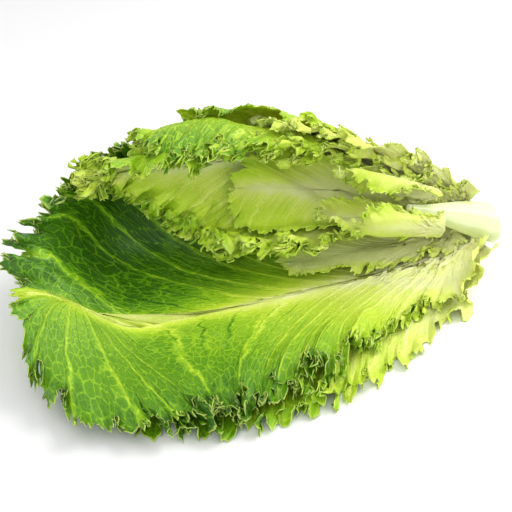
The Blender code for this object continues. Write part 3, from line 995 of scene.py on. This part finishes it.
def veinGroup():
    # masks of the lateral veins, the net between them and the furrows of the fan
    inputs = ("Fan", "Out", "Laterals", "Net Across", "Net Out", "Seed")
    tree, add, given = newGroup("leafVeins", inputs, ("Lateral", "Net", "Fine Net", "Furrow"))
    shakeX = add.times(given["Fan"], 60.0)
    shakeY = add.times(given["Out"], 9.0)
    shakePlan = add.node("ShaderNodeCombineXYZ", {"X": shakeX, "Y": shakeY, "Z": given["Seed"]})
    noise = add.node("ShaderNodeTexNoise", {"Vector": shakePlan.outputs[0], "Scale": 1.0, "Detail": 2.0})
    shake = add.math("SUBTRACT", noise.outputs[0], 0.5)

    def line(rate, shakeShare, wide):
        value = add.math("MULTIPLY_ADD", shake, shakeShare, add.times(given["Fan"], rate))
        return add.mapped(add.math("PINGPONG", value, 0.5), 0.0, wide, 1.0, 0.0)

    def net(share, wide):
        across = add.times(given["Fan"], given["Net Across"], share)
        outward = add.times(given["Out"], given["Net Out"], share)
        plan = add.node("ShaderNodeCombineXYZ", {"X": across, "Y": outward, "Z": given["Seed"]})
        values = {"Vector": plan.outputs[0], "Scale": 1.0}
        cells = add.node("ShaderNodeTexVoronoi", values, feature="DISTANCE_TO_EDGE")
        return add.mapped(cells.outputs[0], 0.0, wide, 1.0, 0.0)

    last = add.node("NodeGroupOutput")
    add.put(line(given["Laterals"], 0.35, 0.10), last.inputs["Lateral"])
    add.put(net(1.0, 0.12), last.inputs["Net"])
    add.put(net(2.6, 0.16), last.inputs["Fine Net"])
    add.put(line(add.times(given["Laterals"], 3.0), 0.45, 0.075), last.inputs["Furrow"])
    return tree


def wetGroup():
    # patches of fine droplets: their mask, and an uneven height for the skin between them
    tree, add, given = newGroup("wetPatches", ("Droplets", "Patches", "Most"), ("Drops", "Skin"))
    place = add.node("ShaderNodeTexCoord").outputs["Object"]
    cells = add.node("ShaderNodeTexVoronoi", {"Vector": place, "Scale": given["Droplets"]})
    drop = add.mapped(cells.outputs["Distance"], 0.05, 0.40, 1.0, 0.0)
    clouds = add.node("ShaderNodeTexNoise", {"Vector": place, "Scale": given["Patches"], "Detail": 3.0})
    patch = add.mapped(clouds.outputs[0], 0.52, 0.66, 0.0, 1.0, smooth=False)
    drops = add.times(drop, patch, given["Most"])
    skin = add.node("ShaderNodeTexNoise", {"Vector": place, "Scale": leafLook["skinScale"], "Detail": 3.0})
    last = add.node("NodeGroupOutput")
    add.put(drops, last.inputs["Drops"])
    add.put(skin.outputs[0], last.inputs["Skin"])
    return tree


def newFinish(name):
    finish = bpy.data.materials.new(name)
    finish.use_nodes = True
    finish.node_tree.nodes.clear()
    return finish, NodeWriter(finish.node_tree)


def satinShader(add, look, colour, rough, height):
    # a satin surface with a fine relief, which lets some light through
    bumpValues = {"Height": height, "Strength": look["bumpStrength"], "Distance": look["bumpDepth"]}
    values = {
        "Base Color": colour,
        "Roughness": rough,
        "Normal": add.node("ShaderNodeBump", bumpValues).outputs[0],
        "Specular IOR Level": look["specular"],
        "Subsurface Weight": look["subsurface"],
        "Subsurface Radius": look["subsurfaceRadius"],
        "Subsurface Scale": look["subsurfaceScale"],
    }
    shader = add.node("ShaderNodeBsdfPrincipled", values)
    result = add.node("ShaderNodeOutputMaterial")
    add.put(shader.outputs[0], result.inputs[0])


def veinValues(row):
    return {
        "Laterals": row["laterals"],
        "Net Across": row["netAcross"],
        "Net Out": row["netOut"],
        "Seed": row["seed"],
    }


def leafTone(add, row, marks, out, greenWithPaintedLight, backFace):
    # where a leaf's colour lies between the palest tone and the darkest
    place = add.node("ShaderNodeTexCoord").outputs["Object"]
    clouds = add.node(
        "ShaderNodeTexNoise", {"Vector": place, "Scale": leafLook["unevenScale"], "Detail": 4.0}
    )
    uneven = add.math("MULTIPLY_ADD", clouds.outputs[0], leafLook["uneven"], -0.5 * leafLook["uneven"])
    tone = add.math("ADD", greenWithPaintedLight, uneven)
    pale = add.times(marks["Lateral"], leafLook["lateralPale"])
    pale = add.math("ADD", pale, add.times(marks["Net"], row["netPale"]))
    pale = add.math("ADD", pale, add.times(marks["Fine Net"], leafLook["finePale"]))
    pale = add.times(pale, add.math("ADD", greenWithPaintedLight, 0.10))
    tone = add.math("SUBTRACT", tone, pale)
    start = add.mapped(out, 0.05, 0.25, 0.0, leafLook["furrowDark"], smooth=False)
    end = add.mapped(out, 0.35, 0.75, 1.0, 0.0, smooth=False)
    tone = add.math("ADD", tone, add.times(marks["Furrow"], start, end))
    return add.math("SUBTRACT", tone, add.times(backFace, leafLook["backPale"]), clamp=True)


def leafFinish(row, veins, wetness):
    # a green leaf: tone by ripeness with its painted shade and painted highlight, pale veins and rim, a wet
    # satin surface
    finish, add = newFinish(row["piece"] + "Finish")

    def attribute(name):
        return add.node("ShaderNodeAttribute", attribute_name=name).outputs["Fac"]

    fan, out, greenWithPaintedLight, toEdge = (attribute(name) for name in ("fan", "out", "greenWithPaintedLight", "toEdge"))
    veinInputs = {"Fan": fan, "Out": out, **veinValues(row)}
    marks = add.node("ShaderNodeGroup", veinInputs, node_tree=veins).outputs
    tone = leafTone(add, row, marks, out, greenWithPaintedLight, attribute("backFace"))
    tones = leafLook["tones"]
    ramp = add.node("ShaderNodeValToRGB", {"Fac": tone})
    ramp.color_ramp.interpolation = "EASE"
    while len(ramp.color_ramp.elements) < len(tones):
        ramp.color_ramp.elements.new(0.5)
    for element, (at, colour) in zip(ramp.color_ramp.elements, tones):
        element.position = at
        element.color = (*colour, 1.0)
    rim = add.mapped(toEdge, 0.2 * leafLook["rimWidth"], leafLook["rimWidth"], leafLook["rimShare"], 0.0)
    colours = {"Factor": rim, "A": ramp.outputs[0], "B": (*leafLook["rim"], 1.0)}
    coloured = add.node("ShaderNodeMix", colours, data_type="RGBA")
    patches = {"Droplets": leafLook["dropletScale"], "Patches": leafLook["patchScale"], "Most": row["drops"]}
    wet = add.node("ShaderNodeGroup", patches, node_tree=wetness).outputs
    rough = add.mapped(wet["Skin"], 0.35, 0.65, *leafLook["roughness"], smooth=False)
    rough = add.math("MULTIPLY_ADD", wet["Drops"], -leafLook["dropShine"], rough, clamp=True)
    height = add.times(wet["Skin"], leafLook["skinHeight"])
    height = add.math("MULTIPLY_ADD", wet["Drops"], leafLook["dropHeight"], height)
    for name, depth in leafLook["sunk"]:
        height = add.math("MULTIPLY_ADD", marks[name], -depth, height)
    satinShader(add, leafLook, coloured.outputs[2], rough, height)
    return finish


def makeLeaf(number, blade, veins, wetness):
    row = leafRows[number]
    leaf = placed(row["piece"], leafSheet(number))
    relief = leaf.modifiers.new("blade", "NODES")
    relief.node_group = blade
    values = {
        "Pucker Height": row["puckerHeight"],
        "Vein Depth": row["veinDepth"],
        "Finish": leafFinish(row, veins, wetness),
    }
    setInputs(relief, {**values, **veinValues(row)})
    settledMesh(leaf)
    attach(leaf, "root")
    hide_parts(row["node"])
    return leaf


# Stem
stemPiece = {
    "sides": 64,
    "rings": 40,
    "cutRings": 10,
    "cutMiddle": 0.10,  # radius of the cut's innermost ring, as a share of the stem's
    "cutEdge": 0.90,
    "cutDip": 0.0006,  # how far the middle of the cut lies in
    "shoulders": ((0.0004, 0.95), (0.0012, 1.0)),
    "flutes": ((7, 0.022, 30.0), (17, 0.012, 0.0)),  # how many, how deep, and how they twist
    "flesh": (0.88, 0.92, 0.62),
    "fleshShade": (0.74, 0.84, 0.40),
    "shadeScale": 160.0,
    "roughness": 0.42,
    "specular": 0.5,
    "bumpStrength": 0.3,
    "bumpDepth": 0.0004,
    "subsurface": 0.25,
    "subsurfaceRadius": (1.0, 0.9, 0.4),
    "subsurfaceScale": 0.003,
}


def stemProfile():
    # places along the stem and the share of its radius there, from the cut's middle to the tip
    rings, cutRings = stemPiece["rings"], stemPiece["cutRings"]
    cutRun = stemPiece["cutEdge"] - stemPiece["cutMiddle"]
    cut = [(0.0, stemPiece["cutMiddle"] + cutRun * ring / cutRings) for ring in range(cutRings)]
    shaft = [(headPlan["stemLength"] * (ring + 1) / rings, 1.0) for ring in range(rings)]
    return cut + list(stemPiece["shoulders"]) + shaft


def makeStem():
    sides, dip = stemPiece["sides"], stemPiece["cutDip"]
    points, faces = [], []
    profile = stemProfile()
    for station, share in profile:
        inward = dip * (1 - share) if station == 0.0 else 0.0
        for side in range(sides):
            angle = 2 * math.pi * side / sides
            flute = 1.0
            for count, depth, twist in stemPiece["flutes"]:
                flute += depth * math.sin(count * angle + twist * station)
            radius = share * stemRadius(station) * flute
            height = float(coreHeight(station)) - radius * math.sin(angle)
            points.append((headPlan["cutX"] - station - inward, -radius * math.cos(angle), height))
    for ring in range(len(profile) - 1):
        for side in range(sides):
            a, b = ring * sides + side, ring * sides + (side + 1) % sides
            faces.append((a, b, b + sides, a + sides))
    last = (len(profile) - 1) * sides
    end = headPlan["stemLength"] + 0.5 * headPlan["stemTipRadius"]
    points.append((headPlan["cutX"] - dip, 0.0, float(coreHeight(0.0))))
    points.append((headPlan["cutX"] - end, 0.0, float(coreHeight(end))))
    for side in range(sides):
        a, b = side, (side + 1) % sides
        faces.append((last + sides, b, a))
        faces.append((last + sides + 1, last + a, last + b))
    mesh = bpy.data.meshes.new("cutStem")
    mesh.from_pydata((np.array(points) + headShift).tolist(), [], faces)
    mesh.shade_smooth()
    stem = placed("cutStem", mesh)
    mesh.materials.append(stemFinish())
    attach(stem, "root")
    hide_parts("stem")


def stemFinish():
    finish, add = newFinish("stemFinish")
    place = add.node("ShaderNodeTexCoord").outputs["Object"]
    clouds = add.node(
        "ShaderNodeTexNoise", {"Vector": place, "Scale": stemPiece["shadeScale"], "Detail": 5.0}
    ).outputs[0]
    flesh, shade = (*stemPiece["flesh"], 1.0), (*stemPiece["fleshShade"], 1.0)
    tone = add.node("ShaderNodeMix", {"Factor": clouds, "A": flesh, "B": shade}, data_type="RGBA")
    satinShader(add, stemPiece, tone.outputs[2], stemPiece["roughness"], clouds)
    return finish


# Camera, floor and light
studio = {
    "cameraTarget": (-0.0115, 0.0041, 0.0409),
    "cameraAzimuth": -20.0,
    "cameraElevation": 30.0,
    "cameraDistance": 0.70,
    "lens": 85.0,
    "floorHalf": 3.0,
    "floorColour": (0.93, 0.93, 0.93),
    "floorRoughness": 0.6,
    "worldColour": (1.0, 1.0, 1.0),
    "worldStrength": 0.70,
    "keyPlace": (0.80, -0.05, 0.80),
    "keySize": 0.75,
    "keyPower": 8.5,
    "fillPlace": (-0.5, -0.8, 0.9),
    "fillSize": 1.2,
    "fillPower": 7.0,
}


def makeCamera(target):
    turn, rise = math.radians(studio["cameraAzimuth"]), math.radians(studio["cameraElevation"])
    way = Vector((math.sin(turn) * math.cos(rise), -math.cos(turn) * math.cos(rise), math.sin(rise)))
    camera = placed("camera", bpy.data.cameras.new("camera"))
    camera.data.lens = studio["lens"]
    camera.location = target + way * studio["cameraDistance"]
    camera.rotation_euler = way.to_track_quat("Z", "Y").to_euler()
    bpy.context.scene.camera = camera


def makeLight(name, target):
    light = placed(name + "Light", bpy.data.lights.new(name + "Light", "AREA"))
    light.data.size = studio[name + "Size"]
    light.data.energy = studio[name + "Power"]
    light.location = studio[name + "Place"]
    light.rotation_euler = (light.location - target).to_track_quat("Z", "Y").to_euler()


def makeFloor():
    half = studio["floorHalf"]
    corners = [(-half, -half, 0), (half, -half, 0), (half, half, 0), (-half, half, 0)]
    mesh = bpy.data.meshes.new("floor")
    mesh.from_pydata(corners, [], [(0, 1, 2, 3)])
    floor = placed("floor", mesh)
    paint = bpy.data.materials.new("floorPaint")
    paint.use_nodes = True
    shader = paint.node_tree.nodes["Principled BSDF"]
    shader.inputs["Base Color"].default_value = (*studio["floorColour"], 1.0)
    shader.inputs["Roughness"].default_value = studio["floorRoughness"]
    mesh.materials.append(paint)


def makeStudio():
    scene = bpy.context.scene
    target = Vector(studio["cameraTarget"])
    makeCamera(target)
    makeLight("key", target)
    makeLight("fill", target)
    world = bpy.data.worlds.new("studio")
    world.use_nodes = True
    backdrop = world.node_tree.nodes["Background"]
    backdrop.inputs["Color"].default_value = (*studio["worldColour"], 1.0)
    backdrop.inputs["Strength"].default_value = studio["worldStrength"]
    scene.world = world
    # the plain transform keeps the greens and the white backdrop as bright as they are
    scene.view_settings.view_transform = "Standard"
    makeFloor()


makeStudio()
print("camera, light and floor placed")
makeStem()
print("stem made")
bladeNodes = bladeTree()
leafVeins = veinGroup()
leafWetness = wetGroup()
for number, row in enumerate(leafRows):
    if row["solid"]:
        leaf = makeLeaf(number, bladeNodes, leafVeins, leafWetness)
        print("made", leaf.name, len(leaf.data.polygons), "faces")
